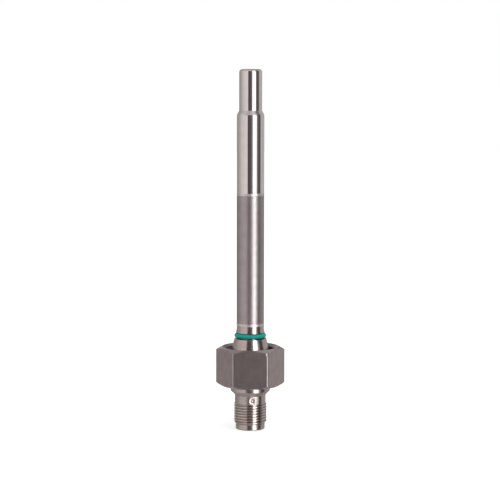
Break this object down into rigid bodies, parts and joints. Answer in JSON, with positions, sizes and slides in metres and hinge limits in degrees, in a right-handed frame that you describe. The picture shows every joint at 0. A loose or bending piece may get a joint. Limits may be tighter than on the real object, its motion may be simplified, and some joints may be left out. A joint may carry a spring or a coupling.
{
  "type": "flow sensor",
  "caption": "Slim stainless rod flow sensor with stepped probe tip, sealing cone with O-ring, hexagon union nut and threaded round plug connector.",
  "frame": {"origin": "centre of the union nut's open face, on the probe axis", "axes": "+Z along the probe axis from the plug connector to the probe tip; one flat of the nut faces -Y"},
  "size_m": [0.0252, 0.022, 0.132],
  "materials": {
    "polished_steel": "polished stainless steel",
    "ground_steel": "round-ground stainless steel, satin",
    "turned_steel": "fine-turned stainless steel",
    "nut_steel": "drawn and turned stainless steel, satin",
    "plug_steel": "turned and threaded stainless steel",
    "ring_rubber": "smooth green fluoro rubber",
    "insert_plastic": "moulded, fine matt",
    "gasket_rubber": "matt",
    "contact_gold": "gold plated",
    "lead_brown": "extruded insulation",
    "lead_white": "extruded insulation",
    "lead_blue": "extruded insulation",
    "lead_black": "extruded insulation",
    "strip_laminate": "amber laminate",
    "chip_dark": "glazed ceramic",
    "chip_light": "glazed ceramic",
    "tip_filling": "cured heat-conducting paste",
    "potting_resin": "cast resin"
  },
  "bodies": {
    "sensor": {"sensor_tip": "polished_steel", "extension_tube": "ground_steel", "seat_body": "turned_steel", "sealing_ring": "ring_rubber", "connector_housing": "plug_steel", "contact_carrier": "insert_plastic", "contact_pin_1": "contact_gold", "contact_pin_2": "contact_gold", "contact_pin_3": "contact_gold", "contact_pin_4": "contact_gold", "carrier_gasket": "gasket_rubber", "lead_wire_1": "lead_brown", "lead_wire_2": "lead_white", "lead_wire_3": "lead_blue", "lead_wire_4": "lead_black", "element_carrier": "strip_laminate", "heating_element": "chip_dark", "measuring_element": "chip_light", "reference_element": "chip_light", "tip_filler": "tip_filling", "potting_plug": "potting_resin"},
    "nut": {"union_nut": "nut_steel"}
  },
  "joints": [
    {"name": "nut_spin", "type": "hinge", "parent": "sensor", "child": "nut", "pos_m": [0, 0, 0], "axis": [0, 0, 1], "continuous": true}
  ]
}
